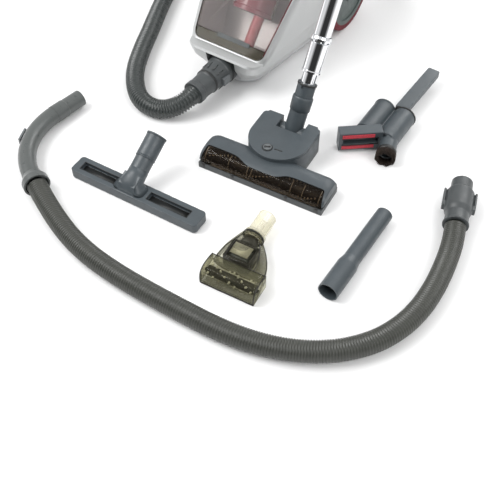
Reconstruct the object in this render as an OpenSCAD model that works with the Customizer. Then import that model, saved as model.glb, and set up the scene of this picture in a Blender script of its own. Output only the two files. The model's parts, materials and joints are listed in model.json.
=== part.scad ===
// Canister vacuum cleaner with its hose, wand, power head and loose tools.
// Millimetres, +Z up. The nose points to -Y, the wheels are at +Y, and the floor is z = 0.

/* [Canister] */
// Radius of the two rear wheels
wheel_r = 85; // [82:1:88]
// Thickness of a rear wheel
wheel_w = 20; // [16:1:22]
// Height of the shell's top deck
deck_z = 262; // [258:1:266]
// Thickness of the moulded walls
wall = 3; // [2.5:0.5:3.5]

/* [Dust bin] */
// Slope of the bin's clear front face above the floor
bin_slope = 48; // [46:1:50]
// Half the bin's width at its lower seam
bin_half = 83; // [80:1:85]
// Depth of the bin behind its front face
bin_depth = 100; // [96:1:102]
// Length of the clear bin along the slope
bin_len = 215; // [205:1:220]
// Height of the bottom flap along the slope
flap_h = 21; // [18:1:24]
// Radius of the cyclone cone's rim
cyclone_r = 42; // [36:1:44]

/* [Hose and wand] */
// Outer radius of the corrugated hose
hose_r = 19; // [17:0.5:20]
// Radius of the wand's inner tube
tube_r = 16.3; // [15.8:0.1:16.5]
// Lean of the wand above the floor
wand_lean = 61.4; // [60:0.2:63]
// Bend radius of a hose handle
handle_bend = 150; // [140:5:160]

/* [Power head] */
// Length of the power head
head_len = 258; // [250:1:262]
// Radius of the bristle tips
brush_r = 16.2; // [15:0.2:16.4]

/* [Loose tools] */
// Length of the hard-floor nozzle
nozzle_len = 278; // [260:2:290]
// Width of the small turbo brush
mini_w = 104; // [98:1:110]
// Length of the crevice tube
crevice_len = 206; // [190:2:220]

/* [Hidden] */

$fn = 48;
// Small gap between neighbouring pieces
gap = 0.4;
// Running clearance of a shaft in its bore
run = 0.06;
// Overshoot that makes a cut go clean through
over = 1;

// Place of the canister's centreline in the set's frame
set_x = -113.5;
set_y = 6.5;

// Front edge of the bin's lower seam
seam_y = 28;
seam_z = 100;
// Gain in half width along the bin's length
bin_flare = 0.112;
// Round of the bin's lower corners
bin_corner = 15;
// Half the bin's width at its top seam
bin_top_half = bin_half + bin_flare * bin_len;
// Split between base pan and upper shell
split_z = 24;
// Height of the ledge over the hose inlet
ledge_z = 82;
// Clearance between the bin and its cradle
cradle_gap = 0.8;
// Centre of the rear wheels along the canister
wheel_y = 318;
// Outer face of a rear wheel
wheel_x = 121;
// Radius of the wheel axles
axle_r = 6;
// Centre of motor and cord reel
motor_y = 300;
motor_z = 95;
// Caster pivot
caster_y = 142;
caster_trail = 10;
caster_r = 9;
// Wand pivot on the power head
wand_x = 207.4;
wand_y = -68.9;
wand_z = 30;
// Power head placing
head_x = 220;
head_y = -210.5;
head_turn = 4.3;
// Left edge of the drive belt across the head
belt_x = 34;

// ---------- shared helpers ----------

// Everything on the canister is drawn about its own centreline.
module placed() {
  translate([set_x, set_y, 0]) children();
}

// A ring or tube standing on z = 0.
module tube(outer_r, inner_r, length) {
  difference() {
    cylinder(r = outer_r, h = length);
    translate([0, 0, -over]) cylinder(r = inner_r, h = length + 2 * over);
  }
}

// Turns +Z into +X for shafts across the canister.
module across(x, y, z) {
  translate([x, y, z]) rotate([0, 90, 0]) children();
}

// Frame of the bin: z runs up the slope, y runs into the body, x is across.
module on_slope() {
  translate([0, seam_y, seam_z]) rotate([bin_slope - 90, 0, 0]) children();
}

// Frame of the wand: z runs up the wand from the pivot on the power head.
module on_wand(s = 0) {
  translate([wand_x, wand_y, wand_z]) rotate([wand_lean - 90, 0, 0])
    translate([0, 0, s]) children();
}

// Frame of the power head: origin at the middle of its front edge.
module on_head() {
  translate([head_x, head_y, 0]) rotate([0, 0, head_turn]) children();
}

// ---------- swept hoses ----------

function unit(v) = v / norm(v);
function flatten_on(n, t) = unit(n - (n * t) * t);
function catmull(a, b, c, d, t) =
  0.5 * (2 * b + (c - a) * t + (2 * a - 5 * b + 4 * c - d) * t * t
  + (3 * b - a - 3 * c + d) * t * t * t);
function smooth_route(p, steps) = let(last = len(p) - 1) concat(
  [for (i = [0 : last - 1], k = [0 : steps - 1])
    catmull(p[max(i - 1, 0)], p[i], p[i + 1], p[min(i + 2, last)], k / steps)],
  [p[last]]);
function route_tangents(p) = let(last = len(p) - 1)
  [for (i = [0 : last]) unit(p[min(i + 1, last)] - p[max(i - 1, 0)])];
function route_normals(t) =
  [for (i = 0, n = flatten_on([0, 0, 1], t[0]); i < len(t);
    i = i + 1, n = i < len(t) ? flatten_on(n, t[i]) : n) n];

// A round tube of the given radius along a route, as one closed polyhedron.
module sweep_route(route, radius, sides = 10) {
  tangents = route_tangents(route);
  normals = route_normals(tangents);
  last = len(route) - 1;
  points = [for (i = [0 : last], k = [0 : sides - 1])
    let(a = 360 * k / sides, n = normals[i], b = cross(tangents[i], n))
    route[i] + radius * (cos(a) * n + sin(a) * b)];
  sides_faces = [for (i = [0 : last - 1], k = [0 : sides - 1])
    [i * sides + k, i * sides + (k + 1) % sides,
     (i + 1) * sides + (k + 1) % sides, (i + 1) * sides + k]];
  start_cap = [for (k = [sides - 1 : -1 : 0]) k];
  end_cap = [for (k = [0 : sides - 1]) last * sides + k];
  polyhedron(points = points, faces = concat([start_cap], sides_faces, [end_cap]));
}

// Route of the fitted hose, from the cuff on the nose to the wand's handle.
hose_route = [
  [-7, -92, 42], [-10, -108, 39], [-20, -126, 31], [-37, -140, 23], [-58, -150, 20],
  [-82, -152, 20], [-106, -144, 20], [-130, -126, 20], [-152, -102, 20], [-171, -74, 20],
  [-188, -40, 20], [-204, -3, 20], [-219, 35, 20], [-235, 74, 20], [-251, 113, 20],
  [-267, 155, 20], [-284, 205, 20], [-300, 260, 20], [-307, 320, 20], [-297, 382, 20],
  [-266, 438, 20], [-218, 480, 20], [-160, 508, 20], [-95, 523, 20], [-28, 530, 20],
  [35, 534, 20], [92, 537, 30], [140, 541, 58], [176, 545, 100], [197, 549, 155],
  [205, 552, 220], [207.4, 554, 290], [207.4, 556, 360], [207.4, 557, 430], [207.4, 557, 495],
  [207.4, 554, 560], [207.4, 542, 616], [207.4, 518, 660], [207.4, 482, 688], [207.4, 436, 699]
];
// Route of the spare hose, from its handle to its connector.
spare_route = [
  [-113, -440, 25.2], [-80, -457, 23], [-34, -478, 21], [15, -496, 20], [66, -508, 20],
  [120, -514, 20], [170, -516, 20], [220, -516, 20], [270, -515, 20], [320, -513, 20],
  [365, -508, 20], [410, -498, 20], [454, -482, 20], [495, -459, 20], [530, -430, 20],
  [560, -392, 20], [580, -348, 20], [590, -302, 20], [592, -256, 20], [589, -212, 20],
  [583, -170, 20], [576, -139, 22], [567, -111, 25]
];

// ---------- canister body ----------

// Outline of the canister at one height, narrow at the nose and full at the wheels.
module plan_slice(z, front_y, front_w, front_r, rear_y, rear_w, rear_r) {
  translate([0, 0, z]) linear_extrude(0.2) hull() for (side = [-1, 1]) {
    translate([side * (front_w - front_r), front_y + front_r]) circle(front_r, $fn = 64);
    translate([side * (rear_w - rear_r), rear_y - rear_r]) circle(rear_r, $fn = 32);
  }
}

// Base pan outline, shrunk all round by inset.
module pan_form(inset, low, high) {
  hull() {
    plan_slice(low, 18 + inset, 60 - inset, 48 - inset, 408 - inset, 104 - inset, 40);
    plan_slice(high, 12 + inset, 68 - inset, 45 - inset, 414 - inset, 111 - inset, 40);
  }
}

// Lower half of the upper shell, up to the ledge over the hose inlet.
module nose_form(inset, low) {
  hull() {
    plan_slice(low, 12 + inset, 68 - inset, 45 - inset, 414 - inset, 111 - inset, 40);
    plan_slice(ledge_z - 24 - inset, -8 + inset, 82 - inset, 30 - inset, 419 - inset,
      117 - inset, 40);
    plan_slice(ledge_z - 4 - inset, -12 + inset, 86 - inset, 26 - inset, 420 - inset,
      118 - inset, 40);
    plan_slice(ledge_z - inset, -9 + inset, 85 - inset, 24 - inset, 420 - inset,
      118 - inset, 40);
  }
}

// Upper half of the shell, whose front follows the bin's slope.
module body_form(inset) {
  hull() {
    plan_slice(ledge_z - 6, 6 + inset, 90 - inset, 20 - inset, 420 - inset, 118 - inset, 40);
    plan_slice(ledge_z + 9, 19 + inset, 94.6 - inset, 18 - inset, 420 - inset, 119 - inset, 40);
    plan_slice(deck_z - 22 - inset, 153 + inset, 119 - inset, 14, 414 - inset, 112 - inset, 50);
    plan_slice(deck_z - 0.2 - inset, 174 + inset, 116 - inset, 10, 398 - inset, 96 - inset, 50);
  }
}

// Outline of the bin seen square to its front face, grown all round.
module bin_outline(grow) {
  hull() for (side = [-1, 1]) {
    translate([side * (bin_half - 1 - bin_corner), bin_corner - flap_h])
      circle(bin_corner + grow);
    translate([side * (bin_top_half - 4), bin_len + 10]) square(10 + 2 * grow, center = true);
  }
}

// Limit of the bin seen from the front: it narrows with the hull towards the floor.
module bin_limit(grow) {
  rotate([90, 0, 0]) translate([0, 0, -400]) linear_extrude(500) polygon([
    [-72 - grow, 36 - grow], [72 + grow, 36 - grow], [79 + grow, 60], [85 + grow, 84],
    [140, 110], [140, 500], [-140, 500], [-140, 110], [-85 - grow, 84], [-79 - grow, 60]
  ]);
}

// Part of the bin between two heights along the slope and two depths.
module bin_slab(z_low, z_high, y_front, y_back, grow = 0) {
  intersection() {
    on_slope() translate([0, y_back, 0]) rotate([90, 0, 0])
      linear_extrude(y_back - y_front) intersection() {
        bin_outline(grow);
        translate([-200, z_low]) square([400, z_high - z_low]);
      }
    bin_limit(grow);
  }
}

// Space for the bin in the shell, with walls when grow is positive.
module bin_cradle(grow) {
  side = cradle_gap + grow;
  bin_slab(-100, bin_len, -90, bin_depth + side, side);
  on_slope() translate([-bin_top_half - side, -90, bin_len - 2])
    cube([2 * (bin_top_half + side), 90 + bin_depth + side, 160]);
}

// Space round a rear wheel.
module wheel_arch(side, grow = 0) {
  across(side > 0 ? 94 - grow : -140, wheel_y, wheel_r)
    cylinder(r = wheel_r + 5.3 + grow, h = 46 + grow);
}

// Recess for the hose cuff in the nose, and the block it is cut from.
module inlet_recess() {
  translate([-34, -40, -over]) cube([68, 55, ledge_z - 4 + over]);
}
module inlet_block() {
  translate([-38, -40, 0]) cube([76, 59, ledge_z]);
}

// Frame of the hose inlet: z points out of the nose along the cuff.
module on_inlet() {
  translate([0, 12, 46]) rotate([0, 0, -4.3]) rotate([92.2, 0, 0]) children();
}

module base_pan() placed() {
  color("lightgray") difference() {
    union() {
      difference() {
        pan_form(0, 8, split_z - 0.2);
        difference() {
          translate([0, 0, wall]) pan_form(wall, 8, split_z + 1);
          for (side = [-1, 1]) wheel_arch(side, wall);
        }
      }
      intersection() {
        pan_form(0, 8, split_z - 0.2);
        inlet_block();
      }
      // Boss and roof of the caster's cup
      translate([0, caster_y, 9]) cylinder(r = 30, h = 18);
      translate([0, caster_y, 20]) cylinder(r = 9, h = 22);
      // Saddles that carry the motor's rubber rings
      for (x = [-70, -12]) translate([x, motor_y - 50, 9]) cube([8, 100, 58]);
      // Brackets of the wheel axles
      for (side = [-1, 1]) translate([side * 86 - 4, wheel_y - 16, 9]) cube([8, 32, wheel_r + 7]);
      // Screw bosses
      for (p = screw_places) translate([p[0], p[1], 9]) cylinder(r = 7, h = 14.8);
    }
    inlet_recess();
    on_inlet() translate([0, 0, -16]) cylinder(r = 24 + gap, h = 30);
    translate([0, caster_y, -over]) cylinder(r = 26, h = 24 + over);
    translate([0, caster_y, 20]) cylinder(r = 4 + run, h = 30);
    for (x = [-76, -18]) across(x, motor_y, motor_z) cylinder(r = 60.3, h = 20);
    for (side = [-1, 1]) across(side * 86 - 5, wheel_y, wheel_r) cylinder(r = axle_r, h = 10);
    for (p = screw_places) {
      translate([p[0], p[1], 0]) cylinder(r = 2.4, h = 30);
      translate([p[0], p[1], 0]) cylinder(r = 5, h = 12);
    }
    for (side = [-1, 1]) wheel_arch(side);
  }
}
screw_places = [[-52, 52], [52, 52], [-80, 380], [80, 380]];

module upper_shell() placed() {
  color("silver") difference() {
    union() {
      difference() {
        union() {
          nose_form(0, split_z + 0.2);
          body_form(0);
        }
        difference() {
          union() {
            nose_form(wall, split_z - 1);
            body_form(wall);
          }
          bin_cradle(wall);
          inlet_block();
          for (side = [-1, 1]) wheel_arch(side, wall);
        }
      }
    }
    bin_cradle(0);
    inlet_recess();
    on_inlet() translate([0, 0, -16]) cylinder(r = 24 + gap, h = 30);
    for (side = [-1, 1]) {
      wheel_arch(side);
      across(side * 92 - 5, wheel_y, wheel_r) cylinder(r = axle_r + gap, h = 10);
    }
    // Opening of the exhaust, behind the filter
    translate([-75, 400, 90]) cube([150, 40, 70]);
    // Holes of the two foot buttons
    for (x = [-45, 45]) translate([x, 358, deck_z - 20]) cylinder(r = 15 + gap, h = 40);
    // Hole of the mains cord's outlet
    translate([55, 395, 60]) rotate([-90, 0, 0]) cylinder(r = 9 + gap, h = 40);
    // Relief for the caster's roof and the screws under the shell
    translate([0, caster_y, 0]) cylinder(r = 31, h = 28);
    translate([0, caster_y, 0]) cylinder(r = 10, h = 43);
  }
}

module top_deck() placed() {
  color("dimgray") translate([0, 0, deck_z + 0.1]) difference() {
    linear_extrude(3) hull() for (x = [-66, 66], y = [338, 376])
      translate([x, y]) circle(9);
    for (x = [-45, 45]) translate([x, 358, -over]) cylinder(r = 15 + gap, h = 6);
  }
}

module foot_button(x) {
  translate([x, 358, deck_z - 7]) cylinder(r = 15, h = 16);
  translate([x, 358, deck_z - 7]) cylinder(r = 17, h = 3);
}
module power_button() placed() color("firebrick") foot_button(-45);
module rewind_button() placed() color("gray") foot_button(45);

module cord_outlet() placed() {
  color("black") translate([55, 410, 60]) rotate([-90, 0, 0]) {
    tube(9, 4, 12);
    translate([0, 0, 11]) tube(12, 4, 3);
  }
}

// ---------- hose inlet ----------

module inlet_collar() placed() {
  color("dimgray") on_inlet() {
    translate([0, 0, -0.5]) tube(30, 20, 4);
    translate([0, 0, -13]) tube(24, 20, 12.6);
  }
}

module hose_cuff() placed() {
  color("dimgray") on_inlet() difference() {
    rotate_extrude() polygon([
      [16, -11], [19.6, -11], [19.6, 4], [31.4, 4], [31.4, 14], [30, 16], [30, 25],
      [29, 27], [24, 58], [25, 60], [25, 66], [23.5, 68], [22.5, 92], [24, 94],
      [24, 106.6], [16, 106.6]
    ]);
    translate([20, -8.5, 27.5]) cube([20, 17, 20]);
  }
}

module cuff_button() placed() {
  color("gray") on_inlet() translate([22.5, -8, 28]) cube([9, 16, 19]);
}

// ---------- dust bin ----------

module bin_box() placed() {
  color([0.9, 0.87, 0.84, 0.4]) difference() {
    bin_slab(gap, bin_len, 0, bin_depth);
    bin_slab(gap - over, bin_len + over, 2.5, bin_depth - 2.5, -2.5);
  }
}

module bin_flap() placed() {
  color([0.45, 0.33, 0.2, 0.6]) difference() {
    bin_slab(-flap_h, 0, 0, bin_depth);
    bin_slab(-flap_h + 2.5, over, 2.5, bin_depth - 2.5, -2.5);
    on_slope() translate([-120, 0, -flap_h]) rotate([-45, 0, 0]) cube([240, 12, 12]);
    on_slope() translate([28, 30, -flap_h - over]) cylinder(r = 11.5, h = flap_h);
  }
}

module flap_catch() placed() {
  color("black") on_slope() translate([-30, -3.2, -5]) cube([76, 3, 9]);
}

module cyclone_cone() placed() {
  color("maroon") on_slope() translate([0, 51, 0]) rotate_extrude() polygon([
    [22, 66], [cyclone_r + 2, 62], [cyclone_r + 2, 70], [cyclone_r, 72],
    [cyclone_r - 2, 200], [cyclone_r - 4, 200], [cyclone_r - 3, 72], [22, 68]
  ]);
}

module inlet_pipe() placed() {
  color("indianred") on_slope() translate([28, 30, gap]) tube(11, 9, 60);
}

module bin_cap() placed() {
  color("silver") difference() {
    intersection() {
      on_slope() translate([-bin_top_half, 0, bin_len + gap])
        cube([2 * bin_top_half, bin_depth, 120]);
      translate([-150, 100, 150]) cube([300, 300, deck_z + 8 - 150]);
    }
    // Hollow over the filter
    on_slope() translate([0, 51, bin_len - over]) cylinder(r = 40, h = 12);
  }
}

module pre_filter() placed() {
  color("lightyellow") on_slope() translate([0, 51, 203]) cylinder(r = 37.6, h = 20);
}

module carry_handle() placed() {
  color("dimgray") {
    translate([15, 190, deck_z + 8.2]) rotate([90, 0, -90]) linear_extrude(30)
      difference() {
        hull() for (y = [-22, -92]) translate([y, 26]) circle(14);
        hull() for (y = [-24, -90]) translate([y, 22]) circle(9);
        translate([-120, 0]) square([120, 14]);
      }
    for (y = [194, 276]) translate([-15, y, deck_z + 8.2]) cube([30, 18, 22]);
  }
}

// ---------- motor, cord reel and filters ----------

module motor_housing() placed() {
  color("gray") across(-76, motor_y, motor_z) difference() {
    cylinder(r = 52, h = 80);
    translate([0, 0, 3]) cylinder(r = 48, h = 74);
    translate([0, 0, -over]) cylinder(r = 5 + run, h = 90);
    for (a = [0 : 45 : 315]) rotate([0, 0, a]) translate([28, 0, -over]) cylinder(r = 8, h = 5);
  }
}

module motor_fan() placed() {
  color("gainsboro") across(-79, motor_y, motor_z) {
    cylinder(r = 5, h = 86);
    translate([0, 0, 10]) cylinder(r = 44, h = 3);
    for (a = [0 : 45 : 315]) rotate([0, 0, a]) translate([12, -1, 12]) cube([30, 2, 12]);
    translate([0, 0, 32]) cylinder(r = 24, h = 38);
  }
}

module motor_mounts() placed() {
  color("black") for (x = [-71, -13]) across(x, motor_y, motor_z) tube(60, 52.2, 10);
}

module exhaust_filter() placed() {
  color("whitesmoke") translate([-70, 386, 92]) cube([140, 18, 66]);
}

module exhaust_cover() placed() {
  color("dimgray") translate([0, 412.2, 90.5]) difference() {
    translate([-74.4, 0, 0]) cube([148.8, 4, 69]);
    for (z = [12 : 9 : 60]) translate([-62, -over, z]) cube([124, 8, 4]);
  }
}

module cord_reel() placed() {
  color("darkgray") across(16, motor_y, motor_z) difference() {
    union() {
      cylinder(r = 62, h = 2.5);
      translate([0, 0, 47.5]) cylinder(r = 62, h = 2.5);
      cylinder(r = 30, h = 50);
    }
    translate([0, 0, 4]) tube(27, 12, 42);
    translate([0, 0, -over]) cylinder(r = axle_r + run, h = 60);
  }
}

module reel_spindle() placed() {
  color("gray") {
    across(9, motor_y, motor_z) cylinder(r = axle_r, h = 66);
    for (x = [9, 70]) translate([x, motor_y - 18, wall + 8.2]) cube([5, 36, motor_z]);
  }
}

// ---------- wheels ----------

module wheel_disc(side) {
  across(side > 0 ? wheel_x - wheel_w : -wheel_x, wheel_y, wheel_r) difference() {
    union() {
      cylinder(r = 72, h = wheel_w);
      cylinder(r = 16, h = wheel_w);
    }
    // Dished outer face
    translate([0, 0, side > 0 ? wheel_w - 3 : -over]) tube(62, 20, 3 + over);
    translate([0, 0, side > 0 ? -over : 3]) cylinder(r = axle_r + run, h = wheel_w - 3 + over);
  }
}
module wheel_tyre(side) {
  across(side > 0 ? wheel_x - wheel_w : -wheel_x, wheel_y, wheel_r)
    rotate_extrude() polygon([
      [72.05, 0], [wheel_r - 2, 0], [wheel_r, 2], [wheel_r, wheel_w - 2],
      [wheel_r - 2, wheel_w], [72.05, wheel_w]
    ]);
}
module left_wheel() placed() color("darkslategray") wheel_disc(-1);
module right_wheel() placed() color("darkslategray") wheel_disc(1);
module left_tyre() placed() color("maroon") wheel_tyre(-1);
module right_tyre() placed() color("maroon") wheel_tyre(1);

module wheel_axles() placed() {
  color("lightsteelblue") for (side = [-1, 1]) {
    across(side > 0 ? 82 : -117, wheel_y, wheel_r) cylinder(r = axle_r, h = 35);
  }
}

module caster_fork() placed() {
  color("dimgray") translate([0, caster_y, 0]) difference() {
    union() {
      translate([0, 0, 20]) cylinder(r = 18, h = 3.4);
      translate([0, 0, 20]) cylinder(r = 4, h = 20);
      for (side = [-1, 1]) hull() {
        translate([side * 9 - 1.5, -4, 20]) cube([3, 18, 2]);
        translate([side * 9 - 1.5, caster_trail - 4, caster_r - 4]) cube([3, 8, 4]);
      }
      across(-9, caster_trail, caster_r) cylinder(r = 2.5, h = 18);
    }
  }
}

module caster_wheel() placed() {
  color("black") across(-6, caster_y + caster_trail, caster_r)
    tube(caster_r, 2.5 + run, 12);
}

module housing_screws() placed() {
  color("silver") for (p = screw_places) translate([p[0], p[1], 8.5]) {
    difference() {
      cylinder(r = 4.4, h = 3.3);
      translate([-0.6, -3, -over]) cube([1.2, 6, 2]);
      translate([-3, -0.6, -over]) cube([6, 1.2, 2]);
    }
    translate([0, 0, 3]) cylinder(r = 2.2, h = 11);
  }
}

// ---------- hose, handle and wand ----------

module hose() placed() {
  color("darkslategray") sweep_route(smooth_route(hose_route, 1), hose_r);
}

// Bent handle: starts at its open spigot along +Z, and bends towards +Y.
module bent_handle(straight, angle) {
  rotate_extrude() polygon([
    [14.2, 0], [16.6, 0], [16.6, 40], [17.6, 42], [17.6, straight + 4], [13.6, straight + 4],
    [13.6, straight - 6], [14.2, straight - 8]
  ]);
  translate([0, handle_bend, straight]) rotate([90, 0, -90])
    rotate_extrude(angle = angle) translate([handle_bend, 0]) difference() {
      circle(17);
      circle(14);
    }
  translate([0, handle_bend, straight]) rotate([-angle, 0, 0]) translate([0, -handle_bend, 0])
    rotate_extrude() polygon([
      [13.6, -4], [17.6, -4], [17.6, 2], [25, 18], [25, 30], [22, 30], [22, 22], [19.2, 20],
      [13.6, 20]
    ]);
}

// The handle's suction slider rides in a shallow seat on the outside of the bend.
module bend_slider(straight) {
  translate([0, handle_bend, straight]) rotate([-30, 0, 0])
    translate([-7, -handle_bend - 21.3, -16]) cube([14, 4, 32]);
}

module on_wand_top() {
  on_wand(615.3) children();
}
module hose_handle() placed() color("dimgray") on_wand_top() bent_handle(65, 72);
module handle_slider() placed() color("gray") on_wand_top() bend_slider(65);

module wand_upper() placed() {
  color("gainsboro") on_wand(335) difference() {
    cylinder(r = 18.6, h = 320);
    translate([0, 0, -over]) cylinder(r = tube_r + 0.3, h = 276);
    translate([0, 0, 270]) cylinder(r = 16.9, h = 60);
  }
}

module wand_lower() placed() {
  color("gainsboro") on_wand() difference() {
    rotate_extrude() polygon([
      [12, 82], [14, 82], [14, 121], [18.5, 121], [18.5, 124.5], [17.5, 126], [17.5, 177],
      [19, 179], [20, 182], [20, 186], [18.5, 190], [tube_r, 191], [tube_r, 450],
      [tube_r - 1.3, 450], [tube_r - 1.3, 126], [12, 122]
    ]);
    translate([0, -14.5, 96]) rotate([90, 0, 0]) cylinder(r = 3, h = 4, center = true);
  }
}

module wand_lock() placed() {
  color("dimgray") on_wand(322) {
    difference() {
      union() {
        cylinder(r = 23, h = 50);
        translate([-9, -29, 8]) cube([18, 12, 32]);
      }
      translate([0, 0, -over]) cylinder(r = tube_r + 0.3, h = 20);
      translate([0, 0, 6]) cylinder(r = 19, h = 60);
    }
  }
}

// ---------- power head ----------

// Plan of the rounded turbine housing behind the brush bar.
module housing_plan(inset = 0) {
  offset(delta = -inset) hull() {
    translate([-7, 99]) circle(60.5, $fn = 96);
    for (x = [-60, 46]) translate([x, 144]) circle(7.5);
  }
}

// Side profile of the brush bar under its cover.
module bar_profile() {
  polygon([[28.5, 13.4], [28.5, 41], [33, 42.5], [58, 39], [66, 30], [68, 13.4]]);
}

// Cut for the neck in the back of the housing.
module neck_notch() {
  translate([-28, 122, 8]) cube([52, 60, 70]);
}

module head_base() placed() {
  color("dimgray") on_head() difference() {
    union() {
      difference() {
        translate([-head_len / 2, 0, 0]) cube([head_len, 68, 13]);
        translate([-head_len / 2 + 3, 3, 3]) cube([head_len - 6, 62, 20]);
      }
      linear_extrude(13) difference() {
        housing_plan();
        housing_plan(3);
      }
      linear_extrude(3) housing_plan();
      // Bearings of the brush roll
      for (x = [-123, 117]) translate([x, 10, 2]) cube([6, 24, 26]);
      // Bearings of the turbine shaft
      for (x = [-36, 26]) translate([x, 92, 2]) cube([5, 16, 28]);
      // Bearings of the neck
      for (x = [-34, 25]) translate([x, 130, 2]) cube([5, 18, 38]);
    }
    // Suction slot over the roll
    translate([-112, 8, -over]) cube([224, 28, 8]);
    across(-124, 22, 20) cylinder(r = 4 + run, h = 248);
    across(-37, 100, 26) cylinder(r = 3 + run, h = 69);
    across(-35, 142, wand_z) cylinder(r = 5 + run, h = 67);
    // Open middle between the bar and the turbine housing
    translate([-55, 50, 3]) cube([90, 30, 20]);
    translate([-28, 148, 3]) cube([52, 20, 20]);
  }
}

module head_cover() placed() {
  color("slategray") on_head() difference() {
    union() {
      translate([-head_len / 2, 0, 0]) rotate([90, 0, 90]) linear_extrude(head_len) bar_profile();
      // Tongue that reaches forward over the window
      intersection() {
        translate([-4, 52, 38.5]) cylinder(r = 38, h = 4);
        translate([-60, 12, 30]) cube([120, 30, 30]);
      }
      translate([0, 0, 13.4]) linear_extrude(38) housing_plan();
    }
    difference() {
      translate([-head_len / 2 + 3, -2, -3]) rotate([90, 0, 90]) linear_extrude(head_len - 6)
        bar_profile();
      translate([0, 0, 13]) linear_extrude(38) housing_plan();
    }
    translate([0, 0, 10]) linear_extrude(38) housing_plan(3);
    translate([-head_len / 2 + 3, 31, 10]) cube([head_len - 6, 30, 25]);
    neck_notch();
    // Groove under the turn lock
    translate([-15, 62, 50.4]) cylinder(r = 9, h = 3);
    // Way through for the drive belt
    translate([33, 31, 8]) cube([8, 70, 28]);
  }
}

module head_window() placed() {
  color([0.3, 0.22, 0.15, 0.6]) on_head() difference() {
    translate([-head_len / 2 + 0.4, 0, 0]) rotate([90, 0, 90]) linear_extrude(head_len - 0.8)
      polygon([
        [0.5, 13.4], [2, 24], [7, 33], [15, 39], [28, 41], [28, 38.5], [16, 36.5],
        [9, 31], [4.5, 23], [3, 13.4]
      ]);
    translate([-4, 52, 30]) cylinder(r = 38.4, h = 14);
  }
}

module brush_roll() placed() {
  color("saddlebrown") on_head() across(-116, 22, 20) {
    translate([0, 0, -6.6]) cylinder(r = 4, h = 245);
    difference() {
      cylinder(r = 12, h = 232);
      translate([0, 0, belt_x + 115]) tube(20, 8, 8);
    }
    for (a = [0 : 90 : 270]) rotate([0, 0, a]) {
      translate([11, -1.5, 5]) cube([brush_r - 11, 3, 142]);
      translate([11, -1.5, 160]) cube([brush_r - 11, 3, 66]);
    }
  }
}

module turbine() placed() {
  color("gray") on_head() across(-35, 100, 26) {
    cylinder(r = 3, h = 78);
    translate([0, 0, 8]) cylinder(r = 8, h = 50);
    for (a = [0 : 45 : 315]) rotate([0, 0, a]) translate([6, -1, 8]) cube([13, 2, 50]);
    translate([0, 0, belt_x + 34]) cylinder(r = 5, h = 8);
  }
}

module belt_outline(r) {
  hull() {
    translate([22, 20]) circle(8 + r);
    translate([100, 26]) circle(5 + r);
  }
}
module drive_belt() placed() {
  color("black") on_head() translate([belt_x, 0, 0]) rotate([90, 0, 90]) linear_extrude(6)
    difference() {
      belt_outline(2);
      belt_outline(0.4);
    }
}

module lock_dial() placed() {
  color("silver") on_head() translate([-15, 62, 50.5]) difference() {
    cylinder(r = 8, h = 3);
    translate([-6, -1, 1.6]) cube([12, 2, 3]);
  }
}

module head_neck() placed() {
  color("slategray") {
    on_head() across(-33.5, 142, wand_z) {
      cylinder(r = 5, h = 63);
      translate([0, 0, 7]) cylinder(r = 14, h = 49);
    }
    on_wand(4) difference() {
      cylinder(r = 18, h = 40);
      translate([0, 0, 16]) cylinder(r = 14.4, h = 30);
    }
  }
}

module neck_sleeve() placed() {
  color("slategray") on_wand() difference() {
    rotate_extrude() polygon([
      [12, 22], [14.3, 22], [14.3, 44.4], [17.8, 44.4], [17.8, 100], [14.2, 100],
      [14.2, 82], [12, 80]
    ]);
    translate([0, -18, 92]) cube([6, 6, 5], center = true);
  }
}

// ---------- spare hose with handle and connector ----------

module loose_hose() placed() {
  color("darkslategray") sweep_route(smooth_route(spare_route, 1), hose_r);
}

// The spare handle lies on the floor with its spigot towards the canister.
module on_spare_handle() {
  translate([-209, -208, 18.6]) rotate(a = 1.6, v = [-0.924, -0.382, 0])
    rotate([0, 0, -98]) rotate([0, 90, 0]) children();
}
module loose_handle() placed() color("dimgray") on_spare_handle() bent_handle(65, 70);
module loose_slider() placed() color("gray") on_spare_handle() bend_slider(65);

module on_connector() {
  translate([567, -111, 25]) rotate([0, 0, 17.3]) rotate([-90, 0, 0]) children();
}
module loose_connector() placed() {
  color("dimgray") on_connector() {
    rotate_extrude() polygon([
      [16, 0.3], [23.5, 0.3], [23.5, 4], [21.5, 5], [21, 26], [24, 32], [24.8, 36],
      [24.8, 78], [19.6, 84], [19.6, 106], [16, 106]
    ]);
    for (side = [-1, 1]) {
      translate([side * 28 - 2, -7, 38]) cube([4, 14, 42]);
      translate([side * 25 - 3, -7, 38]) cube([6, 14, 10]);
    }
  }
}

// ---------- loose tools ----------

module on_floor_nozzle() {
  translate([44, -347, 0]) rotate([0, 0, 2.4]) children();
}
module nozzle_neck_line(s = 0) {
  translate([-14, 10, 30]) rotate([-62, 0, 0]) translate([0, 0, s]) children();
}
module floor_nozzle() placed() {
  color("slategray") on_floor_nozzle() difference() {
    union() {
      translate([0, 0, 3]) linear_extrude(19) hull() for (x = [-1, 1], y = [-13, 13])
        translate([x * (nozzle_len / 2 - 7), y]) circle(7);
      linear_extrude(4) for (y = [-17, 17]) translate([0, y]) square([nozzle_len - 12, 4], center = true);
      // Pedestal of the neck
      translate([-32, 0, 10]) rotate([90, 0, 90]) linear_extrude(36)
        polygon([[-18, 12], [-11, 28], [12, 38], [18, 12]]);
    }
    // Two troughs in the top
    for (x = [-124, 26]) translate([x, -9, 14]) cube([88, 18, 20]);
    // Suction slot in the sole
    translate([-120, -5, -over]) cube([240, 10, 9]);
    translate([-14, 6, 4]) cylinder(r = 9, h = 26);
    nozzle_neck_line(-0.1) cylinder(r = 18.1, h = 60);
  }
}
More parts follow.
